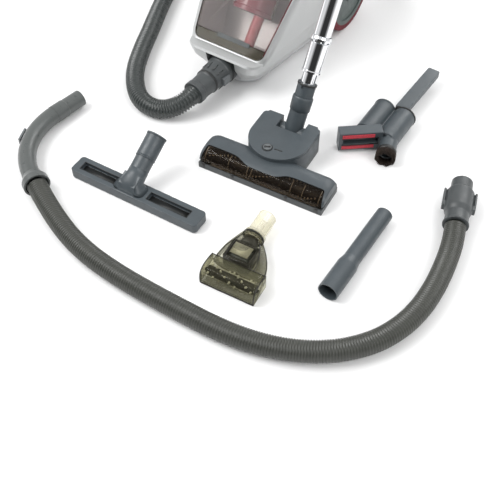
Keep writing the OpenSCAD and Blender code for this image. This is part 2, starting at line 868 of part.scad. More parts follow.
module nozzle_neck() placed() {
  color("slategray") on_floor_nozzle() nozzle_neck_line() rotate_extrude() polygon([
    [13, 0], [18, 0], [18, 48], [19, 50], [19, 94], [16.6, 94], [16.6, 52], [13, 50]
  ]);
}

module on_mini() {
  translate([302, -439, 0]) rotate([0, 0, 4.5]) children();
}
module mini_profile(inset) {
  hull() {
    translate([-mini_w / 2 + inset, inset, inset]) cube([mini_w - 2 * inset, 44 - 2 * inset, 16 - inset]);
    translate([-mini_w / 2 + inset, 8 + inset, 10]) cube([mini_w - 2 * inset, 32 - 2 * inset, 26 - inset]);
  }
  hull() {
    translate([-44 + inset, 40 - 2 * inset, inset]) cube([88 - 2 * inset, 4, 32 - 2 * inset]);
    translate([-11, 118 - inset, 20]) rotate([90, 0, 0]) cylinder(r = 19 - inset, h = 4, $fn = 32);
    translate([-30 + inset, 80, inset]) cube([44 - 2 * inset, 4, 34 - 2 * inset]);
  }
}
module mini_body() placed() {
  color([0.35, 0.33, 0.28, 0.6]) on_mini() difference() {
    mini_profile(0);
    mini_profile(2.2);
    translate([-42, 6, -over]) cube([84, 24, 6]);
    translate([-11, 130, 20]) rotate([90, 0, 0]) cylinder(r = 15.5, h = 40);
    across(-mini_w / 2 - over, 20, 19) cylinder(r = 3 + run, h = mini_w + 2 * over);
  }
}
module mini_roller() placed() {
  color("black") on_mini() across(-mini_w / 2 + 0.3, 20, 19) {
    cylinder(r = 3, h = mini_w - 0.6);
    translate([0, 0, 4]) cylinder(r = 9, h = mini_w - 8.6);
    for (a = [0 : 72 : 288], k = [0 : 4]) rotate([0, 0, a + 24 * k])
      translate([8, -2, 12 + 17 * k]) cube([6, 4, 9]);
  }
}
module mini_neck() placed() {
  color("beige") on_mini() translate([-11, 114, 20.2]) rotate([-90, 0, 0]) {
    tube(15, 13, 8);
    translate([0, 0, 6]) tube(20, 13, 4);
    translate([0, 0, 8]) tube(17, 15, 48);
  }
}

module crevice_tube() placed() {
  color("slategray") translate([448, -354, 19.6]) rotate([-90.8, 0, 0]) difference() {
    union() {
      cylinder(r = 18.5, h = 66);
      translate([0, 0, 66]) cylinder(r1 = 18.5, r2 = 15.5, h = 16);
      translate([0, 0, 82]) cylinder(r = 15.5, h = crevice_len - 82);
    }
    translate([0, 0, -over]) cylinder(r = 16.6, h = 66);
    translate([0, 0, 60]) cylinder(r = 13.3, h = 200);
    translate([-30, -60, crevice_len - 4]) rotate([20, 0, 0]) cube([60, 60, 40]);
  }
}

module on_combo() {
  translate([347, 60, 27]) children();
}
module combo_body() placed() {
  color("slategray") on_combo() difference() {
    union() {
      // Twin barrels side by side
      for (x = [-24, 20]) translate([x, -48, -5]) rotate([-90, 0, 0]) cylinder(r = 22, h = 84);
      translate([-24, -48, -11]) cube([44, 84, 14]);
      // Upholstery head on the left barrel
      translate([-24, -64, 0]) rotate([0, 0, 38]) translate([-46, -14, -22])
        cube([84, 24, 42]);
      // Collar of the dusting brush
      translate([26, -46, -4]) rotate([95, 0, 18]) cylinder(r = 17, h = 30);
      // Post for the blade
      translate([7, 30, -1]) rotate([-90, 0, 0]) cylinder(r = 9, h = 12.6);
    }
    translate([-24, -36, -5]) rotate([-90, 0, 0]) cylinder(r = 17, h = 80);
    translate([20, -36, -5]) rotate([-90, 0, 0]) cylinder(r = 17, h = 58);
    // Air passage between the barrels
    translate([-10, -30, -9]) cube([16, 40, 10]);
    translate([26, -46, -4]) rotate([95, 0, 18]) translate([0, 0, -14]) cylinder(r = 12, h = 60);
    // Suction slot between the lint strips
    translate([-24, -64, 0]) rotate([0, 0, 38]) translate([-38, -16, -6]) cube([68, 14, 12]);
  }
}
module combo_blade() placed() {
  color("slategray") on_combo() translate([7, 43.3, -8]) rotate([0, 0, -2]) difference() {
    linear_extrude(14) hull() {
      translate([-13, 0]) square([26, 4]);
      for (x = [-9, 9]) translate([x, 138]) circle(4);
    }
    translate([-9, 8, 3]) cube([18, 150, 8]);
  }
}
module combo_brush() placed() {
  color([0.15, 0.08, 0.04]) on_combo() translate([26, -46, -4]) rotate([95, 0, 18])
    translate([0, 0, 30.3]) tube(19, 13, 16);
}
module lint_strips() placed() {
  color("firebrick") on_combo() translate([-24, -64, 0]) rotate([0, 0, 38])
    for (z = [-17, 10]) translate([-40, -16, z]) cube([62, 1.7, 7]);
}

base_pan();
upper_shell();
top_deck();
inlet_collar();
hose_cuff();
cuff_button();
bin_box();
bin_flap();
flap_catch();
cyclone_cone();
inlet_pipe();
bin_cap();
pre_filter();
carry_handle();
motor_housing();
motor_fan();
motor_mounts();
exhaust_filter();
exhaust_cover();
cord_reel();
reel_spindle();
cord_outlet();
power_button();
rewind_button();
left_wheel();
right_wheel();
left_tyre();
right_tyre();
wheel_axles();
caster_fork();
caster_wheel();
housing_screws();
hose();
hose_handle();
handle_slider();
wand_upper();
wand_lower();
wand_lock();
head_base();
head_cover();
head_window();
brush_roll();
turbine();
drive_belt();
head_neck();
neck_sleeve();
lock_dial();
loose_hose();
loose_handle();
loose_slider();
loose_connector();
floor_nozzle();
nozzle_neck();
mini_body();
mini_roller();
mini_neck();
crevice_tube();
combo_body();
combo_blade();
combo_brush();
lint_strips();
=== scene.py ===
"""Looks of the canister vacuum cleaner with its wand, power head, hoses and loose tools."""
import json
import math

import bmesh
import bpy
import numpy as np
from mathutils import Matrix, Vector


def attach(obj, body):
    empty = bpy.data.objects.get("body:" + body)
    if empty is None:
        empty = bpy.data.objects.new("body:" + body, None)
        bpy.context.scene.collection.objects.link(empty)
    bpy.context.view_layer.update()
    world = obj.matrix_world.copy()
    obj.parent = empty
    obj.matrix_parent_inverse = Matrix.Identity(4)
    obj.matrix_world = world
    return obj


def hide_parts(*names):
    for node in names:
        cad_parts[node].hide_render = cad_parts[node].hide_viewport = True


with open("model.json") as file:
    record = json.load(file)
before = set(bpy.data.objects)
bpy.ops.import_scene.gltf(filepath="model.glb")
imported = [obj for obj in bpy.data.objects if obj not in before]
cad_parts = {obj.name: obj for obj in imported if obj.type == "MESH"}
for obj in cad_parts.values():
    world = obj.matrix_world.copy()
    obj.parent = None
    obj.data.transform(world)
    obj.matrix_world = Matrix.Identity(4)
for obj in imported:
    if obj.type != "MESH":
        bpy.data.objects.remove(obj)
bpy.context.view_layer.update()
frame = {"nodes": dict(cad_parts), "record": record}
nodes = frame["nodes"]
MM = 0.001

# ---------------------------------------------------------------- frames, as in the CAD source

SET = Vector((-113.5, 6.5, 0))


def turn(angle, axis):
    return Matrix.Rotation(math.radians(angle), 4, axis)


def placed(x, y, z):
    """Frame at a point measured in millimetres from the canister's centreline."""
    return Matrix.Scale(MM, 4) @ Matrix.Translation(SET + Vector((x, y, z)))


CANISTER = placed(0, 0, 0)
SLOPE = placed(0, 28, 100) @ turn(-42, "X")
INLET = placed(0, 12, 46) @ turn(-4.3, "Z") @ turn(92.2, "X")
WAND = placed(207.4, -68.9, 30) @ turn(61.4 - 90, "X")
HEAD = placed(220, -210.5, 0) @ turn(4.3, "Z")
NOZZLE = placed(44, -347, 0) @ turn(2.4, "Z")
MINI = placed(302, -439, 0) @ turn(4.5, "Z")
COMBO = placed(347, 60, 27)
BRUSH_COLLAR = COMBO @ Matrix.Translation((26, -46, -4)) @ turn(18, "Z") @ turn(95, "X")
UPHOLSTERY = COMBO @ Matrix.Translation((-24, -64, 0)) @ turn(38, "Z")

# ---------------------------------------------------------------- camera and floor

CAMERA_PLACE = (762.8, -1075.0, 1127.0)
CAMERA_AZIMUTH = 33.0
CAMERA_DOWN = 52.0

camera_data = bpy.data.cameras.new("camera")
camera_data.lens = 58.68
camera_data.sensor_width = 36
camera_data.clip_start = 0.05
camera = bpy.data.objects.new("camera", camera_data)
bpy.context.scene.collection.objects.link(camera)
camera.location = placed(*CAMERA_PLACE).translation
camera.rotation_euler = (math.radians(90 - CAMERA_DOWN), 0, math.radians(CAMERA_AZIMUTH))
bpy.context.scene.camera = camera

# ---------------------------------------------------------------- materials


class Shader:
    """A Principled material with a few helpers for procedural detail in metres."""

    def __init__(self, name, colour, roughness, metallic=0.0, coat=0.0, specular=0.5):
        self.material = bpy.data.materials.new(name)
        self.material.use_nodes = True
        self.tree = self.material.node_tree
        self.tree.nodes.clear()
        self.output = self.tree.nodes.new("ShaderNodeOutputMaterial")
        self.base = self.tree.nodes.new("ShaderNodeBsdfPrincipled")
        self.link(self.base.outputs[0], self.output.inputs[0])
        self.base.inputs["Base Color"].default_value = (*colour, 1)
        self.base.inputs["Roughness"].default_value = roughness
        self.base.inputs["Metallic"].default_value = metallic
        self.base.inputs["Coat Weight"].default_value = coat
        self.base.inputs["Coat Roughness"].default_value = 0.12
        self.base.inputs["Specular IOR Level"].default_value = specular
        self.colour, self.roughness = colour, roughness
        self.normal = None
        self.place = self.tree.nodes.new("ShaderNodeTexCoord").outputs["Object"]

    def link(self, a, b):
        self.tree.links.new(a, b)

    def noise(self, scale, detail=4.0, stretch=None):
        place = self.place
        if stretch:
            mapping = self.tree.nodes.new("ShaderNodeMapping")
            mapping.inputs["Scale"].default_value = stretch
            self.link(place, mapping.inputs["Vector"])
            place = mapping.outputs[0]
        node = self.tree.nodes.new("ShaderNodeTexNoise")
        node.inputs["Scale"].default_value = scale
        node.inputs["Detail"].default_value = detail
        self.link(place, node.inputs["Vector"])
        return node.outputs["Fac"]

    def ranged(self, value, low, high):
        node = self.tree.nodes.new("ShaderNodeMapRange")
        node.inputs["From Min"].default_value = 0.3
        node.inputs["From Max"].default_value = 0.7
        node.inputs["To Min"].default_value = low
        node.inputs["To Max"].default_value = high
        self.link(value, node.inputs["Value"])
        return node.outputs[0]

    def vary_colour(self, value, amount):
        """Mottles the base colour by a share of itself."""
        ramp = self.tree.nodes.new("ShaderNodeMix")
        ramp.data_type = "RGBA"
        ramp.inputs[6].default_value = (*[c * (1 - amount) for c in self.colour], 1)
        ramp.inputs[7].default_value = (*[min(1, c * (1 + amount)) for c in self.colour], 1)
        self.link(self.ranged(value, 0, 1), ramp.inputs[0])
        self.link(ramp.outputs[2], self.base.inputs["Base Color"])
        return self

    def vary_roughness(self, value, amount):
        low, high = max(0.02, self.roughness - amount), min(1, self.roughness + amount)
        self.link(self.ranged(value, low, high), self.base.inputs["Roughness"])
        return self

    def bump(self, value, distance, strength=1.0):
        node = self.tree.nodes.new("ShaderNodeBump")
        node.inputs["Distance"].default_value = distance
        node.inputs["Strength"].default_value = strength
        self.link(value, node.inputs["Height"])
        if self.normal:
            self.link(self.normal, node.inputs["Normal"])
        self.normal = node.outputs[0]
        self.link(self.normal, self.base.inputs["Normal"])
        return self

    def clear(self, tint, body):
        """Lets the view through: tint colours what is behind, and body is the share of plastic seen."""
        passing = self.tree.nodes.new("ShaderNodeBsdfTransparent")
        passing.inputs[0].default_value = (*tint, 1)
        weight = self.tree.nodes.new("ShaderNodeLayerWeight")
        weight.inputs["Blend"].default_value = 0.35
        share = self.tree.nodes.new("ShaderNodeMapRange")
        share.inputs["To Min"].default_value = body
        share.inputs["To Max"].default_value = min(1, body + 0.6)
        self.link(weight.outputs["Fresnel"], share.inputs["Value"])
        mix = self.tree.nodes.new("ShaderNodeMixShader")
        self.link(share.outputs[0], mix.inputs[0])
        self.link(passing.outputs[0], mix.inputs[1])
        self.link(self.base.outputs[0], mix.inputs[2])
        self.link(mix.outputs[0], self.output.inputs[0])
        return self


def moulded(name, colour, roughness=0.42, grain=1400, depth=0.00006, coat=0.0):
    """Moulded plastic with a fine spark-eroded grain, soft mottling and handling wear."""
    s = Shader(name, colour, roughness, coat=coat)
    s.vary_colour(s.noise(38), 0.07)
    s.vary_roughness(s.noise(90, 6), 0.08)
    s.bump(s.noise(grain, 2), depth, 0.5)
    return s.material


def silver_paint():
    """Satin metallic plastic: fine flake in the colour, faint orange peel in the gloss."""
    s = Shader("silver_shell", (0.50, 0.51, 0.51), 0.34, metallic=0.5, coat=0.4)
    s.vary_colour(s.noise(2600, 1), 0.05)
    s.vary_roughness(s.noise(24, 5), 0.05)
    s.bump(s.noise(700, 2), 0.00003, 0.35)
    return s.material


def clear_plastic(name, colour, tint, body, roughness=0.06):
    s = Shader(name, colour, roughness, specular=0.7)
    s.vary_roughness(s.noise(60, 5), 0.04)
    s.bump(s.noise(30, 2), 0.0002, 0.25)
    s.clear(tint, body)
    return s.material


def polished(name, colour, roughness, stretch=None, depth=0.000004):
    s = Shader(name, colour, roughness, metallic=1.0)
    s.vary_roughness(s.noise(120, 5, stretch), roughness * 0.5)
    s.bump(s.noise(900, 2, stretch), depth, 0.4)
    return s.material


def rubber(name, colour):
    s = Shader(name, colour, 0.7, specular=0.35)
    s.vary_colour(s.noise(60), 0.15)
    s.vary_roughness(s.noise(200, 4), 0.1)
    s.bump(s.noise(1800, 3), 0.0001, 0.5)
    return s.material


def bristle(name, colour):
    s = Shader(name, colour, 0.75, specular=0.3)
    s.vary_colour(s.noise(400, 3), 0.35)
    s.bump(s.noise(1500, 2, (1, 1, 0.2)), 0.0003, 0.8)
    return s.material


def fleece(name, colour):
    s = Shader(name, colour, 0.9, specular=0.2)
    s.base.inputs["Sheen Weight"].default_value = 0.5
    s.vary_colour(s.noise(900, 4), 0.3)
    s.bump(s.noise(2200, 3), 0.0004, 1.0)
    return s.material


GRAPHITE = (0.052, 0.064, 0.072)
PAINT = {
    "silver_shell": silver_paint(),
    "grey_shell": moulded("grey_shell", (0.50, 0.51, 0.52)),
    "dark_plastic": moulded("dark_plastic", (0.052, 0.058, 0.060)),
    "blue_grey_plastic": moulded("blue_grey_plastic", GRAPHITE, 0.4, 1100, 0.00008),
    "clear_plastic": clear_plastic("clear_plastic", (0.78, 0.74, 0.73), (0.97, 0.955, 0.95), 0.03),
    "amber_plastic": clear_plastic("amber_plastic", (0.17, 0.16, 0.13), (0.70, 0.66, 0.55), 0.16),
    "smoky_window": clear_plastic("smoky_window", (0.06, 0.05, 0.042), (0.74, 0.68, 0.60), 0.06),
    "smoky_tool": clear_plastic("smoky_tool", (0.12, 0.12, 0.085), (0.90, 0.89, 0.80), 0.05),
    "maroon_plastic": moulded("maroon_plastic", (0.20, 0.015, 0.035), 0.22, 500, 0.00002, 0.4),
    "red_plastic": moulded("red_plastic", (0.42, 0.09, 0.10), 0.3, 500, 0.00002),
    "foam": fleece("foam", (0.70, 0.68, 0.60)),
    "filter_paper": fleece("filter_paper", (0.8, 0.8, 0.78)),
    "motor_steel": polished("motor_steel", (0.45, 0.45, 0.46), 0.35, (1, 1, 12)),
    "alloy": polished("alloy", (0.22, 0.23, 0.24), 0.4),
    "black_rubber": rubber("black_rubber", (0.02, 0.02, 0.02)),
    "wheel_plastic": moulded("wheel_plastic", (0.075, 0.095, 0.09), 0.5),
    "tyre_rubber": rubber("tyre_rubber", (0.12, 0.012, 0.02)),
    "axle_steel": polished("axle_steel", (0.6, 0.6, 0.61), 0.25),
    "screw_steel": polished("screw_steel", (0.55, 0.55, 0.56), 0.35),
    "chrome_tube": polished("chrome_tube", (0.80, 0.81, 0.83), 0.05, (1, 1, 0.1)),
    "hose_plastic": moulded("hose_plastic", (0.036, 0.042, 0.041), 0.28, 600, 0.00004),
    "grey_button": moulded("grey_button", (0.11, 0.12, 0.125)),
    "red_button": moulded("red_button", (0.36, 0.03, 0.03), 0.3),
    "roller_plastic": moulded("roller_plastic", (0.012, 0.010, 0.009), 0.45),
    "brush_hair": bristle("brush_hair", (0.020, 0.012, 0.008)),
    "lint_fabric": fleece("lint_fabric", (0.45, 0.012, 0.03)),
    "pale_plastic": clear_plastic("pale_plastic", (0.85, 0.83, 0.72), (0.98, 0.97, 0.93), 0.22, 0.2),
    "black_trim": moulded("black_trim", (0.016, 0.017, 0.017)),
    "handle_plastic": moulded("handle_plastic", (0.078, 0.085, 0.083), 0.34),
    "spare_hose_plastic": moulded("spare_hose_plastic", (0.046, 0.048, 0.041), 0.36, 600, 0.00004),
    "pale_bristle": bristle("pale_bristle", (0.85, 0.83, 0.74)),
}
NODE_SLOT = {p["node"]: p["material_slot"] for p in frame["record"]["subparts"]}
OWN_PAINT = {"loose_handle": "handle_plastic", "hose_handle": "handle_plastic"}
for node_name, node_object in nodes.items():
    node_object.data.materials.clear()
    node_object.data.materials.append(PAINT[OWN_PAINT.get(node_name, NODE_SLOT[node_name])])

# ---------------------------------------------------------------- mesh helpers


def add_piece(name, vertices, faces, matrix, paint, body, slot=None, replaces=()):
    """A new mesh piece from points in millimetres in the given frame."""
    mesh = bpy.data.meshes.new(name)
    mesh.from_pydata([matrix @ Vector(v) for v in vertices], [], faces)
    mesh.validate()
    shape = bmesh.new()
    shape.from_mesh(mesh)
    bmesh.ops.recalc_face_normals(shape, faces=shape.faces)
    shape.to_mesh(mesh)
    shape.free()
    mesh.materials.append(PAINT[paint])
    mesh.shade_smooth()
    piece = bpy.data.objects.new(name, mesh)
    bpy.context.scene.collection.objects.link(piece)
    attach(piece, body)
    if replaces:
        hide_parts(*replaces)
    return piece


def soften(piece, voxel, passes=6):
    """Gives a rigid moulded piece its small edge rounds."""
    weld = piece.modifiers.new("weld", "WELD")
    weld.merge_threshold = 0.00002
    remesh = piece.modifiers.new("remesh", "REMESH")
    remesh.mode = "VOXEL"
    remesh.voxel_size = voxel * MM
    remesh.use_smooth_shade = True
    smooth = piece.modifiers.new("smooth", "SMOOTH")
    smooth.iterations = passes
    return piece


def joined(*parts):
    """Joins (vertices, faces) parts into one."""
    vertices, faces = [], []
    for points, polygons in parts:
        start = len(vertices)
        vertices += [tuple(p) for p in points]
        faces += [tuple(start + i for i in polygon) for polygon in polygons]
    return vertices, faces


def moved(part, matrix):
    return [matrix @ Vector(p) for p in part[0]], part[1]


def block(x0, y0, z0, x1, y1, z1):
    points = [(x, y, z) for z in (z0, z1) for y in (y0, y1) for x in (x0, x1)]
    return points, [(0, 2, 3, 1), (4, 5, 7, 6), (0, 1, 5, 4), (2, 6, 7, 3), (0, 4, 6, 2), (1, 3, 7, 5)]


def loft(rings, closed_ends=True):
    """Skins rings of points that all have the same count."""
    count = len(rings[0])
    points = [p for ring in rings for p in ring]
    faces = [(i * count + k, i * count + (k + 1) % count, (i + 1) * count + (k + 1) % count,
              (i + 1) * count + k) for i in range(len(rings) - 1) for k in range(count)]
    if closed_ends:
        faces += [tuple(range(count))[::-1], tuple((len(rings) - 1) * count + k for k in range(count))]
    return points, faces


def lathe(profile, sides=64):
    """Turns (radius, height) points about +Z into one closed skin."""
    rings = [[(r * math.cos(a), r * math.sin(a), z) for a in np.linspace(0, 2 * math.pi, sides, False)]
             for r, z in profile]
    points, faces = loft(rings + rings[:1], closed_ends=False)
    count = len(profile) * sides
    return points[:count], [tuple(i % count for i in f) for f in faces]


def superellipse(half_x, half_y, power, count=48):
    """Points of a rounded rectangle or ellipse about the origin, counter-clockwise."""
    angles = np.linspace(0, 2 * math.pi, count, False)
    return [(half_x * abs(math.cos(a)) ** (2 / power) * (1 if math.cos(a) >= 0 else -1),
             half_y * abs(math.sin(a)) ** (2 / power) * (1 if math.sin(a) >= 0 else -1)) for a in angles]


def ring_at(outline, matrix):
    return [tuple(matrix @ Vector((x, y, 0))) for x, y in outline]


def spike(base, direction, length, radius, tip=0.35, sides=5):
    """A bristle tuft as a short tapered prism."""
    axis = Vector(direction).normalized()
    side = axis.orthogonal().normalized()
    across = axis.cross(side)
    rings = []
    for share, size in ((0, 1), (1, tip)):
        centre = Vector(base) + axis * (length * share)
        rings.append([centre + (side * math.cos(a) + across * math.sin(a)) * radius * size
                      for a in np.linspace(0, 2 * math.pi, sides, False)])
    return loft(rings)


# ---------------------------------------------------------------- hoses

HOSE_RADIUS = 19.0
FITTED_ROUTE = [
    (-7, -92, 42), (-10, -108, 39), (-20, -126, 31), (-37, -140, 23), (-58, -150, 20),
    (-82, -152, 20), (-106, -144, 20), (-130, -126, 20), (-152, -102, 20), (-171, -74, 20),
    (-188, -40, 20), (-204, -3, 20), (-219, 35, 20), (-235, 74, 20), (-251, 113, 20),
    (-267, 155, 20), (-284, 205, 20), (-300, 260, 20), (-307, 320, 20), (-297, 382, 20),
    (-266, 438, 20), (-218, 480, 20), (-160, 508, 20), (-95, 523, 20), (-28, 530, 20),
    (35, 534, 20), (92, 537, 30), (140, 541, 58), (176, 545, 100), (197, 549, 155),
    (205, 552, 220), (207.4, 554, 290), (207.4, 556, 360), (207.4, 557, 430), (207.4, 557, 495),
    (207.4, 554, 560), (207.4, 542, 616), (207.4, 518, 660), (207.4, 482, 688), (207.4, 436, 699),
]
SPARE_ROUTE = [
    (-113, -440, 25.2), (-80, -457, 23), (-34, -478, 21), (15, -496, 20), (66, -508, 20),
    (120, -514, 20), (170, -516, 20), (220, -516, 20), (270, -515, 20), (320, -513, 20),
    (365, -508, 20), (410, -498, 20), (454, -482, 20), (495, -459, 20), (530, -430, 20),
    (560, -392, 20), (580, -348, 20), (590, -302, 20), (592, -256, 20), (589, -212, 20),
    (583, -170, 20), (576, -139, 22), (567, -111, 25),
]


def smooth_line(route, step):
    """Evenly spaced points of the smooth curve through the route."""
    p = np.array([route[0], *route, route[-1]], float)
    t = np.linspace(0, 1, 16, False)[:, None]
    pieces = [0.5 * (2 * b + (c - a) * t + (2 * a - 5 * b + 4 * c - d) * t ** 2
                     + (3 * b - a - 3 * c + d) * t ** 3)
              for a, b, c, d in zip(p[:-3], p[1:-2], p[2:-1], p[3:])]
    line = np.vstack([*pieces, p[-1:]])
    along = np.concatenate([[0], np.cumsum(np.linalg.norm(np.diff(line, axis=0), axis=1))])
    places = np.arange(0, along[-1], step)
    return np.stack([np.interp(places, along, line[:, i]) for i in range(3)], 1), along[-1]


def corrugated_hose(name, route, body, node, pitch, depth, paint):
    """A hose tube with one ridge each pitch, along the route."""
    profile = (0.0, 0.0, 0.0, depth, depth, depth)
    centre, length = smooth_line(route, pitch / len(profile))
    ahead = np.gradient(centre, axis=0)
    ahead /= np.linalg.norm(ahead, axis=1)[:, None]
    side = np.array([0.0, 0.0, 1.0])
    sides = 28
    angles = np.linspace(0, 2 * math.pi, sides, False)
    rings = []
    for i, (point, tangent) in enumerate(zip(centre, ahead)):
        side = side - tangent * (side @ tangent)
        side /= np.linalg.norm(side)
        other = np.cross(tangent, side)
        radius = HOSE_RADIUS - profile[i % len(profile)]
        rings.append(point + radius * (np.outer(np.cos(angles), side) + np.outer(np.sin(angles), other)))
    vertices, faces = loft([[tuple(p) for p in ring] for ring in rings])
    hose = add_piece(name, vertices, faces, CANISTER, paint, body, slot="hose_plastic", replaces=(node,))
    path = [CANISTER @ Vector(p) for p in centre]
    return hose, path, length * MM


FITTED_PITCH, FITTED_RIDGE = 5.6, 2.6
SPARE_PITCH, SPARE_RIDGE = 4.6, 1.7
fitted_hose, fitted_path, fitted_length = corrugated_hose(
    "fitted_hose", FITTED_ROUTE, "root", "hose", FITTED_PITCH, FITTED_RIDGE, "hose_plastic")
spare_hose, spare_path, spare_length = corrugated_hose(
    "spare_hose", SPARE_ROUTE, "spare_hose", "loose_hose", SPARE_PITCH, SPARE_RIDGE, "spare_hose_plastic")

# ---------------------------------------------------------------- soft moulded edges

SOFTENED = {"floor_nozzle": 0.8, "nozzle_neck": 0.8, "combo_body": 0.8, "combo_blade": 0.8,
            "hose_cuff": 0.5, "loose_connector": 0.9}
for softened_name, voxel in SOFTENED.items():
    soften(nodes[softened_name], voxel, 5)


def tube_line(points, radius, sides=8):
    """A thin round bead along a line of points."""
    points = [Vector(p) for p in points]
    side = (points[1] - points[0]).orthogonal().normalized()
    rings = []
    for i, point in enumerate(points):
        ahead = (points[min(i + 1, len(points) - 1)] - points[max(i - 1, 0)]).normalized()
        side = (side - ahead * side.dot(ahead)).normalized()
        other = ahead.cross(side)
        rings.append([point + (side * math.cos(a) + other * math.sin(a)) * radius
                      for a in np.linspace(0, 2 * math.pi, sides, False)])
    return loft(rings)


def thick_strip(points, thickness):
    """Closed section of a wall whose outer face follows (y, z) points, thickened to their right."""
    p = np.array(points, float)
    ahead = np.gradient(p, axis=0)
    ahead /= np.linalg.norm(ahead, axis=1)[:, None]
    inner = p + thickness * np.stack([ahead[:, 1], -ahead[:, 0]], 1)
    return [*p, *inner[::-1]]


def resampled(points, start, end, count):
    """Points of a line whose first coordinate grows, between two values of it, evenly along it."""
    p = np.array(points, float)
    along = np.concatenate([[0], np.cumsum(np.linalg.norm(np.diff(p, axis=0), axis=1))])
    places = np.linspace(np.interp(start, p[:, 0], along), np.interp(end, p[:, 0], along), count)
    return np.stack([np.interp(places, along, p[:, i]) for i in range(2)], 1)


def rounded_line(points, rounds=2):
    """Cuts the corners of an open line."""
    p = [np.array(q, float) for q in points]
    for _ in range(rounds):
        cut = [p[0]]
        for a, b in zip(p[:-1], p[1:]):
            cut += [a * 0.75 + b * 0.25, a * 0.25 + b * 0.75]
        p = cut + [p[-1]]
    return p


# ---------------------------------------------------------------- power head

HEAD_HALF = 129.0
HEAD_STRAIGHT = 112
HEAD_FOOT, HEAD_MIDDLE = 13.4, 34
HEAD_SECTION = rounded_line([(0.5, 13.4), (1.5, 24), (7, 34), (16, 40), (30, 42.2), (44, 42.6),
                             (60, 39), (67, 29), (68, 13.4)])


def cover_edge(x):
    """Front edge of the cover: a wave that reaches over the window in the middle."""
    wave = 0.5 * (math.tanh((x + 46) / 13) - math.tanh((x - 38) / 11))
    cap = max(0.0, (abs(x) - 120) / 5) ** 2
    return max(1.0, 25.5 - 12.5 * wave - 24 * min(1, cap))


def head_ring(x, points):
    """Section ring of the head at x, drawn in towards its rounded ends."""
    t = max(0.0, (abs(x) - HEAD_STRAIGHT) / (HEAD_HALF - HEAD_STRAIGHT)) ** 2
    return [(x, HEAD_MIDDLE + (y - HEAD_MIDDLE) * (1 - 0.10 * t),
             HEAD_FOOT + (z - HEAD_FOOT) * (1 - 0.24 * t)) for y, z in points]


stations = [*np.linspace(-HEAD_HALF, -HEAD_STRAIGHT, 12), *np.linspace(-109, 109, 70),
            *np.linspace(HEAD_STRAIGHT, HEAD_HALF, 12)]
cover_skin = loft([head_ring(x, thick_strip(resampled(HEAD_SECTION, cover_edge(x), 68, 18), 2.4))
                   for x in stations])
cover_ends = [loft([head_ring(x, [*resampled(HEAD_SECTION, 1, 68, 18)]) for x in pair])
              for pair in ((-HEAD_HALF, -HEAD_HALF + 2.5), (HEAD_HALF - 2.5, HEAD_HALF))]

window_line = [(y + 0.9, z - 0.9) for y, z in HEAD_SECTION]
window_skin = loft([head_ring(x, thick_strip(resampled(window_line, 1.5, 32, 14), 2.0))
                    for x in np.linspace(-125, 125, 30)])
ribs = [loft([[(x + dx, y, z) for y, z in thick_strip(resampled([(y + 3.2, z - 3.2) for y, z in HEAD_SECTION],
                                                                4, 24, 8), 0.9)] for dx in (0, 1.6)])
        for x in (-119, -70, -30, -22, 60, 84, 117)]
add_piece("window_ribs", *joined(*ribs), HEAD, "grey_shell", "power_head")
add_piece("head_window_skin", *window_skin, HEAD, "smoky_window", "power_head", replaces=("head_window",))


def convex_outline(circles, count=96):
    """Outline of the hull of (x, y, radius) circles, counter-clockwise."""
    points = sorted({(round(x + r * math.cos(a), 4), round(y + r * math.sin(a), 4))
                     for x, y, r in circles for a in np.linspace(0, 2 * math.pi, count, False)})

    def half(line):
        chain = []
        for p in line:
            while len(chain) > 1 and ((chain[-1][0] - chain[-2][0]) * (p[1] - chain[-2][1])
                                      - (chain[-1][1] - chain[-2][1]) * (p[0] - chain[-2][0])) <= 0:
                chain.pop()
            chain.append(p)
        return chain[:-1]

    return half(points) + half(points[::-1])


def inset(outline, distance):
    """Moves a counter-clockwise outline inwards."""
    p = np.array(outline)
    into = np.roll(p, -1, 0) - p
    into = np.stack([-into[:, 1], into[:, 0]], 1)
    into /= np.linalg.norm(into, axis=1)[:, None]
    corner = into + np.roll(into, 1, 0)
    corner /= (corner * into).sum(1)[:, None]
    return p + distance * corner


housing = convex_outline(((-7, 99, 60.5), (-60, 144, 7.5), (46, 144, 7.5)))
BACK_EDGE = 156.0
housing = [(x, y) for x, y in housing if y < BACK_EDGE - 0.2]
notch_at = max(range(len(housing)), key=lambda i: math.dist(housing[i - 1], housing[i]))
housing = (housing[:notch_at] + [(44, BACK_EDGE), (24, BACK_EDGE), (24, 122), (-28, 122), (-28, BACK_EDGE),
                                 (-58, BACK_EDGE)] + housing[notch_at:])
HOUSING_STEPS = ((48.6, 3), (13.4, 3), (13.4, 0), (45.4, 0), (45.4, 1.2), (46.6, 1.2), (46.6, 0),
                 (50.4, 0), (51.1, 0.4), (51.4, 1.2))
housing_skin = loft([[(x, y, z) for x, y in inset(housing, d)] for z, d in HOUSING_STEPS])
cover = add_piece("head_cover_skin", *joined(cover_skin, *cover_ends, housing_skin), HEAD,
                  "blue_grey_plastic", "power_head", replaces=("head_cover",))
cover.data.shade_flat()
for polygon in cover.data.polygons:
    polygon.use_smooth = len(polygon.vertices) < 8
cover_normals = cover.modifiers.new("edge_normals", "WEIGHTED_NORMAL")
cover_normals.keep_sharp = True
cover.data.set_sharp_from_angle(angle=math.radians(32))

